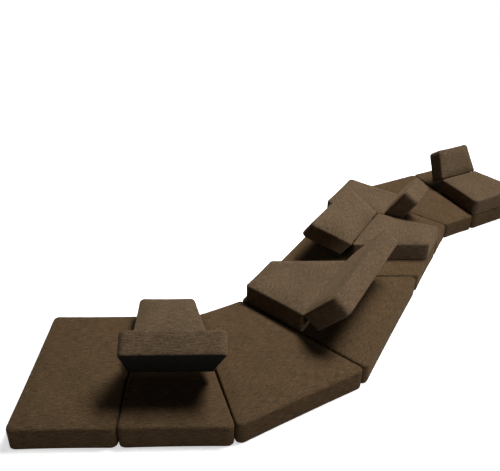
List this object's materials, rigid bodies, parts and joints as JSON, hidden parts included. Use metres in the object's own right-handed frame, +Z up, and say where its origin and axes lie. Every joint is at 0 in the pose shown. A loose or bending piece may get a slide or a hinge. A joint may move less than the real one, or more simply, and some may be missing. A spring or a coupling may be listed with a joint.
{
  "type": "modular floor sofa bed",
  "caption": "Modular floor sofa bed: a winding row of wedge-shaped foam mats in woven covers, with lift-off seats lying on them and hinged backrests that fold down flat.",
  "frame": {"origin": "on the floor, under the middle of the whole row's plan", "axes": "+Z up; +X along the front edge of the first, rectangular mat, towards the other mats; +Y from that mat's front edge to its rear edge"},
  "size_m": [5.4624, 5.156, 0.7651],
  "materials": {
    "brown_upholstery": "flat woven upholstery fabric, dark brown melange with fine streaks",
    "foam": "cut polyurethane foam",
    "birch_plywood": "sanded plywood",
    "zinc_plated_steel": "zinc-plated pressed steel",
    "zip_tape": "woven tape with nylon coil teeth",
    "zip_metal": "lacquered zip slider",
    "strap_webbing": "woven hook-and-loop webbing"
  },
  "bodies": {
    "mats": {"joining_straps": "strap_webbing", "mat_1_cover": "brown_upholstery", "mat_2_cover": "brown_upholstery", "mat_3_cover": "brown_upholstery", "mat_4_cover": "brown_upholstery", "mat_5_cover": "brown_upholstery", "mat_6_cover": "brown_upholstery", "mat_7_cover": "brown_upholstery", "mat_8_cover": "brown_upholstery", "mat_cores": "foam", "mat_zips": "zip_tape", "zip_sliders": "zip_metal"},
    "seat_1": {"seat_1_board": "birch_plywood", "seat_1_core": "foam", "seat_1_cover": "brown_upholstery", "seat_1_hinge_leaves": "zinc_plated_steel", "seat_1_hinge_pins": "zinc_plated_steel"},
    "back_1": {"back_1_board": "birch_plywood", "back_1_core": "foam", "back_1_cover": "brown_upholstery", "back_1_hinge_leaves": "zinc_plated_steel"},
    "seat_2": {"seat_2_board": "birch_plywood", "seat_2_core": "foam", "seat_2_cover": "brown_upholstery", "seat_2_hinge_leaves": "zinc_plated_steel", "seat_2_hinge_pins": "zinc_plated_steel"},
    "back_2": {"back_2_board": "birch_plywood", "back_2_core": "foam", "back_2_cover": "brown_upholstery", "back_2_hinge_leaves": "zinc_plated_steel"},
    "seat_3": {"seat_3_board": "birch_plywood", "seat_3_core": "foam", "seat_3_cover": "brown_upholstery", "seat_3_hinge_leaves": "zinc_plated_steel", "seat_3_hinge_pins": "zinc_plated_steel"},
    "back_3": {"back_3_board": "birch_plywood", "back_3_core": "foam", "back_3_cover": "brown_upholstery", "back_3_hinge_leaves": "zinc_plated_steel"},
    "seat_4": {"seat_4_board": "birch_plywood", "seat_4_core": "foam", "seat_4_cover": "brown_upholstery", "seat_4_hinge_leaves": "zinc_plated_steel", "seat_4_hinge_pins": "zinc_plated_steel"},
    "back_4": {"back_4_board": "birch_plywood", "back_4_core": "foam", "back_4_cover": "brown_upholstery", "back_4_hinge_leaves": "zinc_plated_steel"},
    "seat_5": {"seat_5_board": "birch_plywood", "seat_5_core": "foam", "seat_5_cover": "brown_upholstery", "seat_5_hinge_leaves": "zinc_plated_steel", "seat_5_hinge_pins": "zinc_plated_steel"},
    "back_5": {"back_5_board": "birch_plywood", "back_5_core": "foam", "back_5_cover": "brown_upholstery", "back_5_hinge_leaves": "zinc_plated_steel"}
  },
  "joints": [
    {"name": "seat_1_lift", "type": "slide", "parent": "mats", "child": "seat_1", "axis": [0, 0, 1], "range_m": [0, 0.3]},
    {"name": "back_1_recline", "type": "hinge", "parent": "seat_1", "child": "back_1", "pos_m": [-1.5826, -1.91804, 0.378], "axis": [-1, 0, 0], "range_deg": [-56, 19]},
    {"name": "seat_2_lift", "type": "slide", "parent": "mats", "child": "seat_2", "axis": [0, 0, 1], "range_m": [0, 0.3]},
    {"name": "back_2_recline", "type": "hinge", "parent": "seat_2", "child": "back_2", "pos_m": [-0.17563, -0.9824, 0.378], "axis": [-0.5, -0.866, 0], "range_deg": [-49, 26]},
    {"name": "seat_3_lift", "type": "slide", "parent": "mats", "child": "seat_3", "axis": [0, 0, 1], "range_m": [0, 0.3]},
    {"name": "back_3_recline", "type": "hinge", "parent": "seat_3", "child": "back_3", "pos_m": [0.43275, 0.23134, 0.378], "axis": [0.5, 0.866, 0], "range_deg": [-35, 40]},
    {"name": "seat_4_lift", "type": "slide", "parent": "mats", "child": "seat_4", "axis": [0, 0, 1], "range_m": [0, 0.3]},
    {"name": "back_4_recline", "type": "hinge", "parent": "seat_4", "child": "back_4", "pos_m": [0.90305, 0.88594, 0.378], "axis": [-0.5, -0.866, 0], "range_deg": [-56, 19]},
    {"name": "seat_5_lift", "type": "slide", "parent": "mats", "child": "seat_5", "axis": [0, 0, 1], "range_m": [0, 0.3]},
    {"name": "back_5_recline", "type": "hinge", "parent": "seat_5", "child": "back_5", "pos_m": [2.08323, 1.85508, 0.378], "axis": [0.866, 0.5, 0], "range_deg": [-56, 19]}
  ]
}
